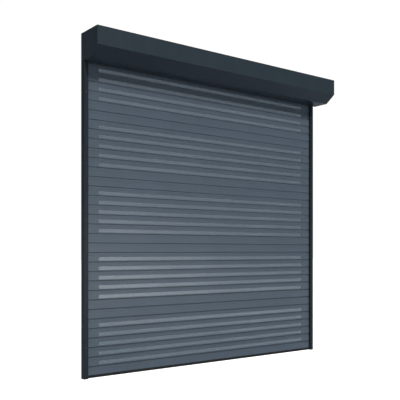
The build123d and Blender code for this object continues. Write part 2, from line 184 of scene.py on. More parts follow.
# %% Floor
floor_reach = 60.0
floor_drop = 0.5 * millimetre
floor_glow = 1.6
floor_share = 0.85  # how much of the camera's floor is plain white; the rest takes shadows
shaded_colour = (0.92, 0.92, 0.92, 1)
quiet_colour = (0.47, 0.52, 0.59, 1)
bpy.ops.object.select_all(action="DESELECT")
bpy.ops.mesh.primitive_plane_add(size=2 * floor_reach, location=(0, 0, floor_height - floor_drop))
floor = bpy.context.object
floor.name = "studio_floor"
floor_paint = bpy.data.materials.new("floor_paint")
floor_paint.use_nodes = True
tree = floor_paint.node_tree
tree.nodes.clear()
shaded = add_node(tree, "ShaderNodeBsdfDiffuse")
shaded.inputs["Color"].default_value = shaded_colour
quiet = add_node(tree, "ShaderNodeBsdfDiffuse")
quiet.inputs["Color"].default_value = quiet_colour
glow = add_node(tree, "ShaderNodeEmission")
glow.inputs["Strength"].default_value = floor_glow
pale = add_node(tree, "ShaderNodeMixShader")
pale.inputs[0].default_value = floor_share
seen = add_node(tree, "ShaderNodeMixShader")
path = add_node(tree, "ShaderNodeLightPath")
surface = add_node(tree, "ShaderNodeOutputMaterial")
tree.links.new(shaded.outputs[0], pale.inputs[1])
tree.links.new(glow.outputs[0], pale.inputs[2])
direct = calculate(tree, "MAXIMUM", path.outputs["Is Camera Ray"], path.outputs["Is Transmission Ray"])
tree.links.new(direct, seen.inputs[0])
tree.links.new(quiet.outputs[0], seen.inputs[1])
tree.links.new(pale.outputs[0], seen.inputs[2])
tree.links.new(seen.outputs[0], surface.inputs[0])
floor.data.materials.append(floor_paint)
print("floor at", round(floor_height, 4))

# %% [markdown]
# A room that is brightest near the horizon gives the soft fill and the reflections in the coated
# metal and in the window strips. It fades towards the right, where the photographed windows
# mirror less light, and towards the rear. A key light stands high in front of the door, a little
# to the left, and throws the shadow of the headbox onto the top slats. A weak, wide fill behind
# the door on the right lets its back be read from the other side. The camera itself sees plain
# white, also through the window strips.

# %% World and lights
bpy.context.scene.view_settings.view_transform = "Standard"
horizon_strength = 0.80
sky_strength = 0.20
sky_edge = 0.35  # the rise of a direction at which the room is down to the sky's strength
front_edge = -0.92  # the Y of a direction up to which it counts as the front
rear_edge = -0.35  # and from which it counts as the rear
rear_share = 0.33  # how bright the rear is, against the front
middle_edge = 0.45  # the X of a direction up to which the room keeps its strength
right_edge = 0.75  # and from which it has faded out
middle_share = 1.2  # how bright the room is there, against the values above
right_share = 0.35  # and at the far right
room_tint = (0.92, 0.97, 1.0, 1)
backdrop_strength = 1.03

world = bpy.data.worlds.new("white_room")
bpy.context.scene.world = world
world.use_nodes = True
tree = world.node_tree
tree.nodes.clear()
direction = add_node(tree, "ShaderNodeTexCoord")
split = add_node(tree, "ShaderNodeSeparateXYZ")
tree.links.new(direction.outputs["Generated"], split.inputs[0])
room = add_node(tree, "ShaderNodeBackground")
room.inputs["Color"].default_value = room_tint
by_height = rescale(tree, split.outputs["Z"], 0.0, sky_edge, horizon_strength, sky_strength)
by_side = rescale(tree, split.outputs["Y"], front_edge, rear_edge, 1.0, rear_share)
by_turn = rescale(tree, split.outputs["X"], middle_edge, right_edge, middle_share, right_share)
by_place = calculate(tree, "MULTIPLY", by_side, by_turn)
strength = calculate(tree, "MULTIPLY", by_height, by_place)
tree.links.new(strength, room.inputs["Strength"])
backdrop = add_node(tree, "ShaderNodeBackground")
backdrop.inputs["Color"].default_value = (1, 1, 1, 1)
backdrop.inputs["Strength"].default_value = backdrop_strength
path = add_node(tree, "ShaderNodeLightPath")
choose = add_node(tree, "ShaderNodeMixShader")
direct = calculate(tree, "MAXIMUM", path.outputs["Is Camera Ray"], path.outputs["Is Transmission Ray"])
tree.links.new(direct, choose.inputs[0])
tree.links.new(room.outputs[0], choose.inputs[1])
tree.links.new(backdrop.outputs[0], choose.inputs[2])
sky_surface = add_node(tree, "ShaderNodeOutputWorld")
tree.links.new(choose.outputs[0], sky_surface.inputs[0])


def add_light(name, energy, softness, turned, height):
    """A far light. Its beam is turned clockwise from +Y; all angles are in degrees."""
    lamp_data = bpy.data.lights.new(name, "SUN")
    lamp_data.energy = energy
    lamp_data.angle = math.radians(softness)
    lamp = bpy.data.objects.new(name, lamp_data)
    turn = math.radians(turned)
    beam = Vector((math.sin(turn), math.cos(turn), -math.tan(math.radians(height))))
    lamp.rotation_euler = beam.to_track_quat("-Z", "Y").to_euler()
    bpy.context.scene.collection.objects.link(lamp)


add_light("key_light", energy=2.6, softness=7, turned=12, height=42)
add_light("rear_fill", energy=0.9, softness=25, turned=205, height=35)
print("lights:", [light.name for light in bpy.data.lights])

# %% [markdown]
# In the photograph the window strips shine most at the left of the middle rows, and the low rows
# shine along their whole length. Two soft reflector cards do that, as in a product studio. One
# stands in front of the door and one lies on the floor. Each fades out from its middle and shows
# in reflections alone: neither the camera nor a matt surface sees it.

# %% Reflector cards
plain_side = 2  # the fade of a card reaches from its middle to one unit away


def add_card(name, middle, tilt, width, height, strength):
    """A card that glows in its middle and is seen in reflections alone."""
    bpy.ops.object.select_all(action="DESELECT")
    bpy.ops.mesh.primitive_plane_add(size=plain_side)
    card = bpy.context.object
    card.name = name
    card.location = middle
    card.rotation_euler = (math.radians(tilt), 0, 0)
    card.scale = (width / plain_side, height / plain_side, 1)
    paper = bpy.data.materials.new(name)
    paper.use_nodes = True
    tree = paper.node_tree
    tree.nodes.clear()
    spot = add_node(tree, "ShaderNodeTexCoord")
    fade = add_node(tree, "ShaderNodeTexGradient", gradient_type="SPHERICAL")
    shine = add_node(tree, "ShaderNodeEmission")
    clear = add_node(tree, "ShaderNodeBsdfTransparent")
    both = add_node(tree, "ShaderNodeAddShader")
    surface = add_node(tree, "ShaderNodeOutputMaterial")
    glow = rescale(tree, fade.outputs["Fac"], 0.0, 1.0, 0.0, strength)
    tree.links.new(spot.outputs["Object"], fade.inputs[0])
    tree.links.new(glow, shine.inputs["Strength"])
    tree.links.new(shine.outputs[0], both.inputs[0])
    tree.links.new(clear.outputs[0], both.inputs[1])
    tree.links.new(both.outputs[0], surface.inputs[0])
    card.data.materials.append(paper)
    card.visible_camera = False
    card.visible_diffuse = False
    card.visible_shadow = False
    card.visible_transmission = False


upright_middle = Vector((0.8, -4.0, floor_height + 0.72))
floor_middle = Vector((3.8, -6.0, floor_height + 0.01))
add_card("upright_card", upright_middle, tilt=90, width=5.8, height=2.2, strength=2.0)
add_card("floor_card", floor_middle, tilt=0, width=14.0, height=8.4, strength=1.5)
print("cards: upright_card, floor_card")

# %% [markdown]
# Powder coat is sprayed on dry and melts in an oven. It sets with a fine pebbled skin, which
# breaks up the reflection of an edge or a lamp. Moulded plastic and rubber have a skin of small
# cells from the etched mould. Both are a height that a Bump node turns into a normal.

# %% Grain groups
grain, group_in, group_out = new_group(
    "powder_grain",
    [("Scale", "NodeSocketFloat", 700.0), ("Soft", "NodeSocketFloat", 0.5)],
    [("Height", "NodeSocketFloat")],
)
spot = add_node(grain, "ShaderNodeTexCoord")
pebbles = add_node(grain, "ShaderNodeTexNoise")
pebbles.inputs["Detail"].default_value = 2.0
grain.links.new(spot.outputs["Object"], pebbles.inputs["Vector"])
grain.links.new(group_in.outputs["Scale"], pebbles.inputs["Scale"])
grain.links.new(group_in.outputs["Soft"], pebbles.inputs["Roughness"])
grain.links.new(pebbles.outputs[0], group_out.inputs["Height"])

mould_grain, group_in, group_out = new_group(
    "moulded_grain", [("Scale", "NodeSocketFloat", 1500.0)], [("Height", "NodeSocketFloat")]
)
spot = add_node(mould_grain, "ShaderNodeTexCoord")
cells = add_node(mould_grain, "ShaderNodeTexVoronoi", feature="SMOOTH_F1")
mould_grain.links.new(spot.outputs["Object"], cells.inputs["Vector"])
mould_grain.links.new(group_in.outputs["Scale"], cells.inputs["Scale"])
mould_grain.links.new(cells.outputs["Distance"], group_out.inputs["Height"])
print("groups:", [group.name for group in bpy.data.node_groups])

# %% [markdown]
# No large surface has one even tone. The colour drifts a little from one patch to the next, rain
# leaves faint upright streaks, and dust settles on whatever faces up. Each of these is a group
# that takes a colour and gives back a changed one, with a mask for the roughness.

# %% Tone, streak and dust groups
noise_low = 0.3  # a cloudy noise seldom leaves this range
noise_high = 0.7
streak_shape = (28.0, 28.0, 0.9)  # narrow across, long in height
streak_start = 0.48  # only the brighter part of the noise leaves a streak
streak_full = 0.72
steep_face = 0.4  # the rise of a face's normal below which no dust stays
level_face = 0.95  # and above which it lies in full
patch_low = 0.35
patch_high = 0.65
thin_dust = 0.45  # what lies between the patches

drift, group_in, group_out = new_group(
    "tone_drift",
    [("Colour", "NodeSocketColor", (1, 1, 1, 1)), ("Amount", "NodeSocketFloat", 0.05),
     ("Scale", "NodeSocketFloat", 4.0)],
    [("Colour", "NodeSocketColor"), ("Mask", "NodeSocketFloat")],
)
spot = add_node(drift, "ShaderNodeTexCoord")
clouds = add_node(drift, "ShaderNodeTexNoise")
clouds.inputs["Detail"].default_value = 4.0
drift.links.new(spot.outputs["Object"], clouds.inputs["Vector"])
drift.links.new(group_in.outputs["Scale"], clouds.inputs["Scale"])
swing = rescale(drift, clouds.outputs[0], noise_low, noise_high, -1.0, 1.0)
change = calculate(drift, "MULTIPLY", swing, group_in.outputs["Amount"])
factor = calculate(drift, "ADD", change, 1.0)
scaled = add_node(drift, "ShaderNodeVectorMath", operation="SCALE")
drift.links.new(group_in.outputs["Colour"], scaled.inputs[0])
drift.links.new(factor, scaled.inputs["Scale"])
cloud_mask = rescale(drift, clouds.outputs[0], noise_low, noise_high, 0.0, 1.0)
drift.links.new(scaled.outputs[0], group_out.inputs["Colour"])
drift.links.new(cloud_mask, group_out.inputs["Mask"])

streaks, group_in, group_out = new_group(
    "rain_streaks",
    [("Colour", "NodeSocketColor", (1, 1, 1, 1)), ("Stain", "NodeSocketColor", (0.3, 0.3, 0.28, 1)),
     ("Amount", "NodeSocketFloat", 0.1)],
    [("Colour", "NodeSocketColor"), ("Mask", "NodeSocketFloat")],
)
spot = add_node(streaks, "ShaderNodeTexCoord")
stretch = add_node(streaks, "ShaderNodeMapping")
stretch.inputs["Scale"].default_value = streak_shape
runs = add_node(streaks, "ShaderNodeTexNoise")
runs.inputs["Scale"].default_value = 1.0
runs.inputs["Detail"].default_value = 5.0
streaks.links.new(spot.outputs["Object"], stretch.inputs["Vector"])
streaks.links.new(stretch.outputs[0], runs.inputs["Vector"])
streak_mask = rescale(streaks, runs.outputs[0], streak_start, streak_full, 0.0, 1.0)
share = calculate(streaks, "MULTIPLY", streak_mask, group_in.outputs["Amount"])
stained = blend_colours(streaks, share, group_in.outputs["Colour"], group_in.outputs["Stain"])
streaks.links.new(stained, group_out.inputs["Colour"])
streaks.links.new(streak_mask, group_out.inputs["Mask"])

dust, group_in, group_out = new_group(
    "settled_dust",
    [("Colour", "NodeSocketColor", (1, 1, 1, 1)), ("Dust", "NodeSocketColor", (0.26, 0.26, 0.25, 1)),
     ("Amount", "NodeSocketFloat", 0.3)],
    [("Colour", "NodeSocketColor"), ("Mask", "NodeSocketFloat")],
)
facing = add_node(dust, "ShaderNodeNewGeometry")
upward = add_node(dust, "ShaderNodeSeparateXYZ")
dust.links.new(facing.outputs["Normal"], upward.inputs[0])
flat_share = rescale(dust, upward.outputs["Z"], steep_face, level_face, 0.0, 1.0)
spot = add_node(dust, "ShaderNodeTexCoord")
specks = add_node(dust, "ShaderNodeTexNoise")
specks.inputs["Scale"].default_value = 45.0
specks.inputs["Detail"].default_value = 6.0
dust.links.new(spot.outputs["Object"], specks.inputs["Vector"])
patch = rescale(dust, specks.outputs[0], patch_low, patch_high, thin_dust, 1.0)
cover = calculate(dust, "MULTIPLY", flat_share, patch)
cover = calculate(dust, "MULTIPLY", cover, group_in.outputs["Amount"])
dusted = blend_colours(dust, cover, group_in.outputs["Colour"], group_in.outputs["Dust"])
dust.links.new(dusted, group_out.inputs["Colour"])
dust.links.new(cover, group_out.inputs["Mask"])
print("groups:", [group.name for group in bpy.data.node_groups])

# %% [markdown]
# The gaps of the joints between the slats get painted shade: a near black colour laid into
# each gap behind the front of the slats. It is strongest in the lower joints and fades out
# to nothing at chest height. The group measures the height over the nearest joint line, the depth
# behind the front of the slats and the height over the floor, all in the slat's own
# coordinates, so the painted shade travels with the curtain.

# %% Joint painted shade group
slat_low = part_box("slat_01")[0]
slat_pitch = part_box("slat_02")[0].z - slat_low.z
joint_drop = 2.3 * millimetre  # how far a joint line lies below the box of the slat over it
first_joint = slat_low.z - joint_drop
joint_reach = 4.5 * millimetre  # how far the painted shade spreads above and below a joint line
curtain_front = slat_low.y
shade_start_depth = 0.3 * millimetre  # how far behind the front the painted shade begins
shade_full_depth = 3.0 * millimetre  # and where the painted shade lies in full
# the painted shade is full below the first height and gone above the second
full_shade_height = floor_height + 0.65
no_shade_height = floor_height + 1.4

# Painted shade: a near black colour mixed into the joint gaps behind the slat fronts
joint_painted_shade, group_in, group_out = new_group(
    "joint_painted_shade",
    [("Colour", "NodeSocketColor", (1, 1, 1, 1)), ("Painted Shade", "NodeSocketColor", (0.01, 0.01, 0.01, 1)),
     ("Amount", "NodeSocketFloat", 0.8)],
    [("Colour", "NodeSocketColor")],
)
spot = add_node(joint_painted_shade, "ShaderNodeTexCoord")
split = add_node(joint_painted_shade, "ShaderNodeSeparateXYZ")
joint_painted_shade.links.new(spot.outputs["Object"], split.inputs[0])
over_first = calculate(joint_painted_shade, "SUBTRACT", split.outputs["Z"], first_joint)
from_joint = calculate(joint_painted_shade, "PINGPONG", over_first, slat_pitch / 2)
near = rescale(joint_painted_shade, from_joint, joint_reach, joint_reach + millimetre, 1.0, 0.0)
behind_front = calculate(joint_painted_shade, "SUBTRACT", split.outputs["Y"], curtain_front)
deep = rescale(joint_painted_shade, behind_front, shade_start_depth, shade_full_depth, 0.0, 1.0)
shade_mask = calculate(joint_painted_shade, "MULTIPLY", near, deep)
by_height = rescale(joint_painted_shade, split.outputs["Z"], full_shade_height, no_shade_height, 1.0, 0.0)
thickness = calculate(joint_painted_shade, "MULTIPLY", shade_mask, by_height)
share = calculate(joint_painted_shade, "MULTIPLY", thickness, group_in.outputs["Amount"])
darkened = blend_colours(joint_painted_shade, share, group_in.outputs["Colour"], group_in.outputs["Painted Shade"])
joint_painted_shade.links.new(darkened, group_out.inputs["Colour"])
print("slat pitch", round(slat_pitch, 4), "first joint", round(first_joint, 4))

# %% [markdown]
# Bare metal shows how it was made. An extruded or drawn piece has fine lines along its length,
# zinc from a bath freezes in leaf-like spangles, and a casting has a sandy skin.

# %% Metal groups
lines, group_in, group_out = new_group(
    "drawn_lines",
    [("Stretch", "NodeSocketVector", (1.0, 900.0, 900.0))],
    [("Height", "NodeSocketFloat"), ("Mask", "NodeSocketFloat")],
)
spot = add_node(lines, "ShaderNodeTexCoord")
along = add_node(lines, "ShaderNodeVectorMath", operation="MULTIPLY")
hairs = add_node(lines, "ShaderNodeTexNoise")
hairs.inputs["Scale"].default_value = 1.0
hairs.inputs["Detail"].default_value = 3.0
lines.links.new(spot.outputs["Object"], along.inputs[0])
lines.links.new(group_in.outputs["Stretch"], along.inputs[1])
lines.links.new(along.outputs[0], hairs.inputs["Vector"])
lines.links.new(hairs.outputs[0], group_out.inputs["Height"])
hair_mask = rescale(lines, hairs.outputs[0], patch_low, patch_high, 0.0, 1.0)
lines.links.new(hair_mask, group_out.inputs["Mask"])

spangle, group_in, group_out = new_group(
    "zinc_spangle",
    [("Scale", "NodeSocketFloat", 70.0)],
    [("Mask", "NodeSocketFloat")],
)
spot = add_node(spangle, "ShaderNodeTexCoord")
leaves = add_node(spangle, "ShaderNodeTexVoronoi")
grey = add_node(spangle, "ShaderNodeSeparateColor")
spangle.links.new(spot.outputs["Object"], leaves.inputs["Vector"])
spangle.links.new(group_in.outputs["Scale"], leaves.inputs["Scale"])
spangle.links.new(leaves.outputs["Color"], grey.inputs[0])
spangle.links.new(grey.outputs[0], group_out.inputs["Mask"])
print("groups:", [group.name for group in bpy.data.node_groups])

# %% [markdown]
# Every finish starts from one Principled shader. What is the same all over the surface is set
# on the shader's own socket, and only what changes over the surface is linked in.

# %% Finish helpers
finishes = {}


def new_finish(name, roughness, metallic=0.0, specular=0.5):
    """A material with one Principled shader and plain values."""
    finish = bpy.data.materials.new(name)
    finish.use_nodes = True
    shader = finish.node_tree.nodes["Principled BSDF"]
    shader.inputs["Roughness"].default_value = roughness
    shader.inputs["Metallic"].default_value = metallic
    shader.inputs["Specular IOR Level"].default_value = specular
    finishes[name] = finish
    return finish.node_tree, shader


def emboss(tree, shader, height, depth):
    """Raises the surface by a height map, to a depth in metres."""
    bump = add_node(tree, "ShaderNodeBump")
    bump.inputs["Strength"].default_value = 1.0
    bump.inputs["Distance"].default_value = depth
    tree.links.new(height, bump.inputs["Height"])
    tree.links.new(bump.outputs[0], shader.inputs["Normal"])


def dusted_tone(tree, shader, colour, amount, scale, dust_share):
    """A drifting base tone under some dust. Gives back the mask of the drift."""
    tone = place(tree, drift, Colour=(*colour, 1), Amount=amount, Scale=scale)
    dusty = place(tree, dust, Amount=dust_share)
    tree.links.new(tone.outputs["Colour"], dusty.inputs["Colour"])
    tree.links.new(dusty.outputs["Colour"], shader.inputs["Base Color"])
    return tone.outputs["Mask"]


def vary_roughness(tree, shader, mask, at_zero, at_one):
    """Lets the roughness follow a mask."""
    rough = rescale(tree, mask, 0.0, 1.0, at_zero, at_one)
    tree.links.new(rough, shader.inputs["Roughness"])


print("finish helpers ready")

# %% [markdown]
# Headbox and rails have a satin anthracite powder coat. The slats come off a roll of painted
# sheet with a smoother, bluer coat, and get painted shade in their joints. One function makes all
# three. It lays down a drifting base tone, streaks, dust and the grain of the coat.

# %% Coated metal
coat_drift = 0.04
drift_scale = 3.0
streak_dulling = 0.04  # what a streak adds to the roughness
dust_dulling = 0.5  # and what a full layer of dust adds
coat_grain = 650.0


def coated_metal(name, colour, roughness, specular, grain_depth, streak_share, dust_share, joint_shade_share=0.0):
    """Paint on metal, with drift, streaks, dust and, if wanted, painted shade in the slat joints."""
    tree, shader = new_finish(name, roughness, specular=specular)
    tone = place(tree, drift, Colour=(*colour, 1), Amount=coat_drift, Scale=drift_scale)
    washed = place(tree, streaks, Amount=streak_share)
    dusty = place(tree, dust, Amount=dust_share)
    tree.links.new(tone.outputs["Colour"], washed.inputs["Colour"])
    tree.links.new(washed.outputs["Colour"], dusty.inputs["Colour"])
    last = dusty.outputs["Colour"]
    # Painted shade in the joint gaps of the slats
    if joint_shade_share > 0:
        shaded_joints = place(tree, joint_painted_shade, Amount=joint_shade_share)
        tree.links.new(last, shaded_joints.inputs["Colour"])
        last = shaded_joints.outputs["Colour"]
    tree.links.new(last, shader.inputs["Base Color"])
    duller = calculate(tree, "MULTIPLY", washed.outputs["Mask"], streak_dulling)
    chalky = calculate(tree, "MULTIPLY", dusty.outputs["Mask"], dust_dulling)
    streaked = calculate(tree, "ADD", duller, roughness)
    rough = calculate(tree, "ADD", streaked, chalky)
    tree.links.new(rough, shader.inputs["Roughness"])
    skin = place(tree, grain, Scale=coat_grain)
    emboss(tree, shader, skin.outputs["Height"], grain_depth)


coated_metal("hood_paint", (0.020, 0.032, 0.042), roughness=0.42, specular=0.35,
             grain_depth=0.00012, streak_share=0.01, dust_share=0.14)
coated_metal("rail_paint", (0.013, 0.019, 0.026), roughness=0.40, specular=0.22,
             grain_depth=0.00010, streak_share=0.01, dust_share=0.14)
# The slats take painted shade in their joint gaps, by the last value.
coated_metal("slat_paint", (0.075, 0.099, 0.126), roughness=0.34, specular=0.40,
             grain_depth=0.00006, streak_share=0.01, dust_share=0.15, joint_shade_share=0.48)
print("coated:", sorted(finishes))

# %% [markdown]
# The window strips are smoke grey polycarbonate. They let part of the light from behind
# through, swallow the rest in their tint, and mirror the bright horizon at a flat angle. The
# strips are drawn through a die, so faint lines run along them.

# %% Window strips
smoothest_line = 0.13
roughest_line = 0.24
tree, shader = new_finish("window_plastic", roughness=0.16, specular=0.6)
shader.inputs["Transmission Weight"].default_value = 0.55
shader.inputs["IOR"].default_value = 1.58
dusted_tone(tree, shader, (0.150, 0.187, 0.222), amount=0.06, scale=2.5, dust_share=0.1)
drawn = place(tree, lines, Stretch=(1.2, 260.0, 260.0))
height = drawn.outputs["Height"]
rough = rescale(tree, height, noise_low, noise_high, smoothest_line, roughest_line)
tree.links.new(rough, shader.inputs["Roughness"])
emboss(tree, shader, height, depth=0.00003)
print("window strips done")

# %% [markdown]
# Black parts are rubber, moulded nylon and brush pile. Rubber is dull and takes on a grey bloom
# in streaks. Nylon has an etched skin and a slight sheen. Pile is dull, and lighter where dust
# clings to it.

# %% Black rubber, nylon and pile
tree, shader = new_finish("seal_rubber", roughness=0.78, specular=0.3)
tone = place(tree, drift, Colour=(0.010, 0.010, 0.011, 1), Amount=0.25, Scale=18.0)
chalk = place(tree, streaks, Stain=(0.05, 0.05, 0.048, 1), Amount=0.35)
tree.links.new(tone.outputs["Colour"], chalk.inputs["Colour"])
tree.links.new(chalk.outputs["Colour"], shader.inputs["Base Color"])
vary_roughness(tree, shader, tone.outputs["Mask"], at_zero=0.68, at_one=0.88)
skin = place(tree, mould_grain, Scale=1200.0)
emboss(tree, shader, skin.outputs["Height"], depth=0.00008)

tree, shader = new_finish("black_plastic", roughness=0.5, specular=0.45)
mask = dusted_tone(tree, shader, (0.016, 0.018, 0.021), amount=0.15, scale=12.0, dust_share=0.3)
vary_roughness(tree, shader, mask, at_zero=0.42, at_one=0.56)
skin = place(tree, mould_grain, Scale=1800.0)
emboss(tree, shader, skin.outputs["Height"], depth=0.00005)

tree, shader = new_finish("brush", roughness=0.9, specular=0.2)
dusted_tone(tree, shader, (0.012, 0.012, 0.013), amount=0.4, scale=160.0, dust_share=0.5)
hairs = place(tree, lines, Stretch=(1500.0, 40.0, 1500.0))
vary_roughness(tree, shader, hairs.outputs["Mask"], at_zero=0.8, at_one=1.0)
emboss(tree, shader, hairs.outputs["Height"], depth=0.0002)
print("black parts done")

# %% [markdown]
# Inside the headbox the metal is bare. Galvanised sheet shows its spangle in tone and in
# roughness, castings are grey and sandy, the motor's tube and the rolled straps have fine
# lines, and screws are plated or blackened.

# %% Bare metals
metal_dust = 0.15
roughness_swing = 0.08


def bare_metal(name, dark, light, roughness, group, mask, depth, **settings):
    """Metal whose two tones, roughness and height follow a group; settings are the group's own."""
    tree, shader = new_finish(name, roughness, metallic=1.0)
    shown = place(tree, group, **settings)
    pattern = shown.outputs[mask]
    colour = blend_colours(tree, pattern, (*dark, 1), (*light, 1))
    dusty = place(tree, dust, Amount=metal_dust)
    tree.links.new(colour, dusty.inputs["Colour"])
    tree.links.new(dusty.outputs["Colour"], shader.inputs["Base Color"])
    vary_roughness(tree, shader, pattern, roughness + roughness_swing, roughness - roughness_swing)
    emboss(tree, shader, pattern, depth)


bare_metal("galvanised", (0.36, 0.38, 0.40), (0.52, 0.54, 0.55), roughness=0.42,
           group=spangle, mask="Mask", depth=0.00001, Scale=150.0)
bare_metal("cast_metal", (0.30, 0.30, 0.31), (0.44, 0.44, 0.44), roughness=0.58,
           group=mould_grain, mask="Height", depth=0.0002, Scale=900.0)
bare_metal("bolt_steel", (0.40, 0.39, 0.34), (0.55, 0.54, 0.48), roughness=0.35,
           group=grain, mask="Height", depth=0.00002, Scale=1400.0)
bare_metal("dark_steel", (0.030, 0.032, 0.036), (0.060, 0.064, 0.070), roughness=0.45,
           group=grain, mask="Height", depth=0.00002, Scale=1800.0)
bare_metal("motor_paint", (0.50, 0.50, 0.50), (0.62, 0.62, 0.62), roughness=0.38,
           group=lines, mask="Mask", depth=0.00001, Stretch=(2.0, 700.0, 700.0))
bare_metal("spring_steel", (0.10, 0.115, 0.15), (0.20, 0.215, 0.25), roughness=0.33,
           group=lines, mask="Mask", depth=0.00001, Stretch=(900.0, 3.0, 3.0))
print(len(finishes), "finishes")

# %% [markdown]
# The record names a finish for every node of the frame. Each node is dressed with it all over,
# and its mesh stays as it is.

# %% Dress the frame


def dress(piece, finish):
    """Gives a piece one finish all over."""
    piece.data.materials.clear()
    piece.data.materials.append(finish)


for part in frame["record"]["subparts"]:
    dress(nodes[part["node"]], finishes[part["material_slot"]])

# %% [markdown]
# The frame holds plain stand-ins for the small hardware. Each piece is now modelled in the same
# place: a primitive at its real size, shaped in edit mode by extrude, inset and bevel, and then
# given its finish and its body. These helpers hold the steps that most pieces share.

# %% Modelling helpers
quarter = math.radians(90)
lying = {"X": (0, quarter, 0), "Y": (quarter, 0, 0), "Z": (0, 0, 0)}  # a cylinder stands along Z
straight = 0.99  # how closely a face has to look in the wanted direction
same_end = 0.05 * millimetre
smooth_angle = math.radians(35)
hex_sides = 6


def take(piece):
    """Makes one piece the only selected and the active object."""
    bpy.ops.object.select_all(action="DESELECT")
    piece.select_set(True)
    bpy.context.view_layer.objects.active = piece


def start_round(name, radius, length, middle, axis, sides=32):
    """Adds a cylinder or prism that lies along one axis, with its place in the mesh."""
    bpy.ops.object.select_all(action="DESELECT")
    bpy.ops.mesh.primitive_cylinder_add(
        vertices=sides, radius=radius, depth=length, location=middle, rotation=lying[axis]
    )
    piece = bpy.context.object
    piece.name = name
    bpy.ops.object.transform_apply(location=True, rotation=True, scale=True)
    return piece


def start_box(name, low, high):
    """Adds a box between two corners, with its place in the mesh."""
    bpy.ops.object.select_all(action="DESELECT")
    bpy.ops.mesh.primitive_cube_add(size=1, location=(low + high) / 2, scale=high - low)
    piece = bpy.context.object
    piece.name = name
    bpy.ops.object.transform_apply(location=True, rotation=True, scale=True)
    return piece


def pick_end(piece, direction):
    """Opens edit mode with the outermost faces that look in one direction selected."""
    take(piece)
    bpy.ops.object.mode_set(mode="EDIT")
    bpy.ops.mesh.select_mode(type="FACE")
    bpy.ops.mesh.select_all(action="DESELECT")
    bpy.ops.object.mode_set(mode="OBJECT")
    facing = [face for face in piece.data.polygons if face.normal.dot(direction) > straight]
    furthest = max(face.center.dot(direction) for face in facing)
    for face in facing:
        face.select = face.center.dot(direction) > furthest - same_end
    bpy.ops.object.mode_set(mode="EDIT")


def round_rim(piece, direction, width, steps=3):
    """Bevels the rim of the end that looks in one direction."""
    pick_end(piece, direction)
    bpy.ops.mesh.region_to_loop()
    bpy.ops.mesh.bevel(offset=width, segments=steps, affect="EDGES")
    bpy.ops.object.mode_set(mode="OBJECT")


def draw_out(piece, direction, margin, length):
    """Insets an end by a margin and extrudes what is left; a negative length sinks it."""
    pick_end(piece, direction)
    bpy.ops.mesh.inset(thickness=margin)
    bpy.ops.mesh.extrude_region_move(TRANSFORM_OT_translate={"value": direction * length})
    bpy.ops.object.mode_set(mode="OBJECT")


def combine(piece, other, operation):
    """Adds another solid to a piece, or cuts it out, and removes the other solid."""
    take(piece)
    modifier = piece.modifiers.new("combine", "BOOLEAN")
    modifier.operation = operation
    modifier.solver = "EXACT"
    modifier.object = other
    bpy.ops.object.modifier_apply(modifier=modifier.name)
    bpy.data.objects.remove(other)


def join(pieces):
    """Joins pieces into the first one."""
    take(pieces[0])
    for piece in pieces:
        piece.select_set(True)
    bpy.ops.object.join()
    return pieces[0]


def repeat(piece, moves):
    """Copies a piece once for each move and joins the copies to it."""
    copies = []
    for move in moves:
        take(piece)
        bpy.ops.object.duplicate_move(TRANSFORM_OT_translate={"value": move})
        copies.append(bpy.context.object)
    return join([piece] + copies)


def mount(piece, body, slot, stand_in=None):
    """Finishes a piece, makes it ride on its body, and lets it take its stand-in's place."""
    take(piece)
    bpy.ops.object.shade_smooth_by_angle(angle=smooth_angle)
    dress(piece, finishes[slot])
    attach(piece, body)
    if stand_in:
        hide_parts(stand_in)
    print(piece.name, len(piece.data.polygons), "faces, on", body)


# %% [markdown]
# The front cover can be taken off for service. Two button screws with a hex socket hold it from
# below, where the eye doesn't fall on them. The head is a short cylinder with a rounded rim,
# the shank is drawn out of its upper face, and a six sided prism cuts the socket.

# %% Cover screws
down = Vector((0, 0, -1))
screw_low, screw_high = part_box("cover_screws")
head_radius = 4.0 * millimetre
head_height = 2.0 * millimetre
shank_radius = 2.0 * millimetre
shank_length = screw_high.z - screw_low.z - head_height
socket_radius = 1.45 * millimetre
socket_depth = 1.2 * millimetre
button_rounding = 0.9 * millimetre
middle_y = (screw_low.y + screw_high.y) / 2
head_middle = Vector((screw_low.x + head_radius, middle_y, screw_low.z + head_height / 2))
button_screws = start_round("cover_button_screws", head_radius, head_height, head_middle, "Z")
round_rim(button_screws, down, button_rounding, steps=4)
draw_out(button_screws, -down, head_radius - shank_radius, shank_length)
socket_middle = head_middle + down * head_height / 2
socket = start_round("socket", socket_radius, 2 * socket_depth, socket_middle, "Z", hex_sides)
combine(button_screws, socket, "DIFFERENCE")
screw_span = screw_high.x - screw_low.x - 2 * head_radius
repeat(button_screws, [Vector((screw_span, 0, 0))])
mount(button_screws, "frame", "dark_steel", "cover_screws")

# %% [markdown]
# The plates that carry the barrel and the motor take a heavy, turning load, so each is held by
# two flanged hex bolts. The flange is forged in one piece with the head and spreads the load.
# The outer rim of the hexagon has a small chamfer.

# %% Bracket bolts
bolt_offset = 33.0 * millimetre
plate_thickness = 4.0 * millimetre
flange_radius = 8.0 * millimetre
flange_height = 1.2 * millimetre
hexagon_radius = 6.5 * millimetre
hexagon_height = 5.0 * millimetre
bolt_radius = 4.0 * millimetre
bolt_length = 6.2 * millimetre
flange_rounding = 0.4 * millimetre
hexagon_chamfer = 0.6 * millimetre
diagonal = Vector((0, -2 * bolt_offset, 2 * bolt_offset))


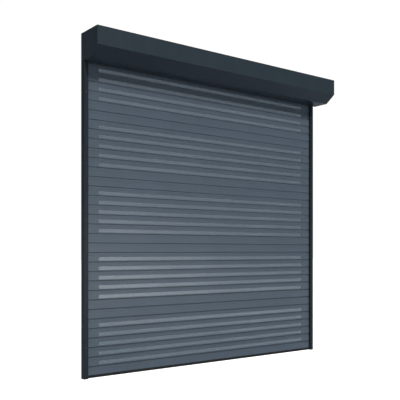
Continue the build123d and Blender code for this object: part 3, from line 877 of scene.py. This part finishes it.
def make_bolt(name, seat, inwards):
    """A flanged hex bolt whose head stands on its plate and looks into the headbox."""
    flange_middle = seat + inwards * flange_height / 2
    bolt = start_round(name, flange_radius, flange_height, flange_middle, "X")
    round_rim(bolt, inwards, flange_rounding)
    draw_out(bolt, -inwards, flange_radius - bolt_radius, bolt_length)
    hexagon_middle = seat + inwards * hexagon_height / 2
    hexagon = start_round("hexagon", hexagon_radius, hexagon_height, hexagon_middle, "X", hex_sides)
    round_rim(hexagon, inwards, hexagon_chamfer, steps=1)
    combine(bolt, hexagon, "UNION")
    return repeat(bolt, [diagonal])


bearing_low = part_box("idler_bearing")[0]
bracket_low, bracket_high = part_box("motor_bracket")
bolt_y = (bracket_low.y + bracket_high.y) / 2 + bolt_offset
bolt_z = (bracket_low.z + bracket_high.z) / 2 - bolt_offset
rightward = Vector((1, 0, 0))
idler_seat = Vector((bearing_low.x + plate_thickness, bolt_y, bolt_z))
motor_seat = Vector((bracket_low.x, bolt_y, bolt_z))
idler_bolts = make_bolt("idler_bolts", idler_seat, rightward)
motor_bolts = make_bolt("motor_bolts", motor_seat, -rightward)
flange_bolts = join([idler_bolts, motor_bolts])
flange_bolts.name = "flange_bolts"
mount(flange_bolts, "frame", "bolt_steel", "bracket_bolts")

# %% [markdown]
# Where the curtain leaves the headbox, the inner edge of the front cover is folded down to a
# stiff lip. It is a long box whose lower edge is bevelled round, and it stands clear of the
# slats.

# %% Cover lip
lip_drop = 13.0 * millimetre
lip_thickness = 2.5 * millimetre
lip_gap = 1.0 * millimetre
lip_rounding = 1.0 * millimetre
cover_low, cover_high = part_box("hood_front_cover")
lip_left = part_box("guide_rail_left")[1].x + lip_gap
lip_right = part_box("guide_rail_right")[0].x - lip_gap
cover_lip = start_box(
    "cover_lip",
    Vector((lip_left, cover_high.y - lip_thickness, cover_low.z - lip_drop)),
    Vector((lip_right, cover_high.y, cover_low.z)),
)
round_rim(cover_lip, down, lip_rounding)
mount(cover_lip, "frame", "hood_paint")

# %% [markdown]
# The rails are screwed to the wall through their hollow body, so each screw has a wide access
# hole in the front. A moulded cap closes it: a thin lip with a soft edge and a shallow dish
# lies on the rail, and a plug holds it in the hole.

# %% Rail hole caps
forward = Vector((0, -1, 0))
cap_low, cap_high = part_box("rail_hole_caps")
rail_half_width = 20.0 * millimetre
cap_radius = 8.2 * millimetre
cap_height = 0.8 * millimetre
cap_rounding = 0.5 * millimetre
dish_margin = 1.2 * millimetre
dish_depth = 0.25 * millimetre
plug_radius = (cap_high.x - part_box("guide_rail_right")[0].x) - rail_half_width
plug_length = cap_high.y - cap_low.y - cap_height
cap_middle = cap_low + Vector((plug_radius, cap_height / 2, plug_radius))
caps = start_round("moulded_caps", cap_radius, cap_height, cap_middle, "Y")
round_rim(caps, forward, cap_rounding)
draw_out(caps, forward, dish_margin, -dish_depth)
draw_out(caps, -forward, cap_radius - plug_radius, plug_length)
cap_rise = (cap_high.z - cap_low.z) / 2 - plug_radius
cap_span = cap_high.x - cap_low.x - 2 * plug_radius
places = [Vector((x, 0, z)) for x in (0, cap_span) for z in (0, cap_rise, 2 * cap_rise)]
repeat(caps, places[1:])
mount(caps, "frame", "black_plastic", "rail_hole_caps")

# %% [markdown]
# Brush strips in the mouth of each rail keep the curtain quiet and the draught out. A strip is a
# stiff backing with a dense pile of short tufts. One tuft is modelled as a small wedge that
# narrows to its tip, and an Array modifier repeats it over the whole length of the strip.

# %% Brush pile
brush_low, brush_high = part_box("rail_brushes")
strip_width = 6.0 * millimetre
strip_depth = 2.0 * millimetre
backing_depth = 0.6 * millimetre
tuft_pitch = 2.6 * millimetre
tuft_height = 2.1 * millimetre
tuft_margin = 0.5 * millimetre  # how far the tufts stay inside the backing's edges
tuft_taper = (0.86, 1, 0.45)
strip_length = brush_high.z - brush_low.z


def make_brush(name, left, back, towards_curtain):
    """One strip: a backing on the rail, and a row of tufts that reach to the curtain."""
    front = back + towards_curtain.y * backing_depth
    low = Vector((left, min(back, front), brush_low.z))
    high = Vector((left + strip_width, max(back, front), brush_high.z))
    strip = start_box(name, low, high)
    tip = back + towards_curtain.y * strip_depth
    root = back + towards_curtain.y * backing_depth / 2
    foot = brush_low.z + tuft_margin
    tuft_low = Vector((left + tuft_margin, min(root, tip), foot))
    tuft_high = Vector((left + strip_width - tuft_margin, max(root, tip), foot + tuft_height))
    tuft = start_box("tuft", tuft_low, tuft_high)
    pick_end(tuft, towards_curtain)
    bpy.ops.transform.resize(value=tuft_taper)
    bpy.ops.object.mode_set(mode="OBJECT")
    row = tuft.modifiers.new("row", "ARRAY")
    row.use_relative_offset = False
    row.use_constant_offset = True
    row.constant_offset_displace = (0, 0, tuft_pitch)
    row.count = int(strip_length / tuft_pitch)
    take(tuft)
    bpy.ops.object.modifier_apply(modifier=row.name)
    return join([strip, tuft])


sides = (brush_low.x, brush_high.x - strip_width)
front_strips = [make_brush("pile", x, brush_low.y, -forward) for x in sides]
rear_strips = [make_brush("pile", x, brush_high.y, forward) for x in sides]
pile = join(front_strips + rear_strips)
pile.name = "brush_pile"
mount(pile, "frame", "brush", "rail_brushes")

# %% [markdown]
# The curtain hangs on the tube by three straps of blued spring steel. Their stamped edges are
# tumbled smooth. The strap keeps the form that the frame gives it: its loose triangles are
# merged in a copy, and a Bevel modifier takes the sharpness off the edges. As the curtain
# rises, the straps wind onto the tube.

# %% Hanger straps
merge_reach = 0.01 * millimetre
flat_angle = math.radians(1)
softening = 0.12 * millimetre
sharp_angle = math.radians(50)
straps = bpy.data.objects.new("spring_straps", nodes["hanger_straps"].data.copy())
bpy.context.scene.collection.objects.link(straps)
take(straps)
bpy.ops.object.mode_set(mode="EDIT")
bpy.ops.mesh.select_all(action="SELECT")
bpy.ops.mesh.remove_doubles(threshold=merge_reach)
bpy.ops.mesh.dissolve_limited(angle_limit=flat_angle)
bpy.ops.object.mode_set(mode="OBJECT")
tumble = straps.modifiers.new("tumble", "BEVEL")
tumble.width = softening
tumble.segments = 2
tumble.angle_limit = sharp_angle
bpy.ops.object.modifier_apply(modifier=tumble.name)
mount(straps, "curtain", "spring_steel", "hanger_straps")
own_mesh(straps)
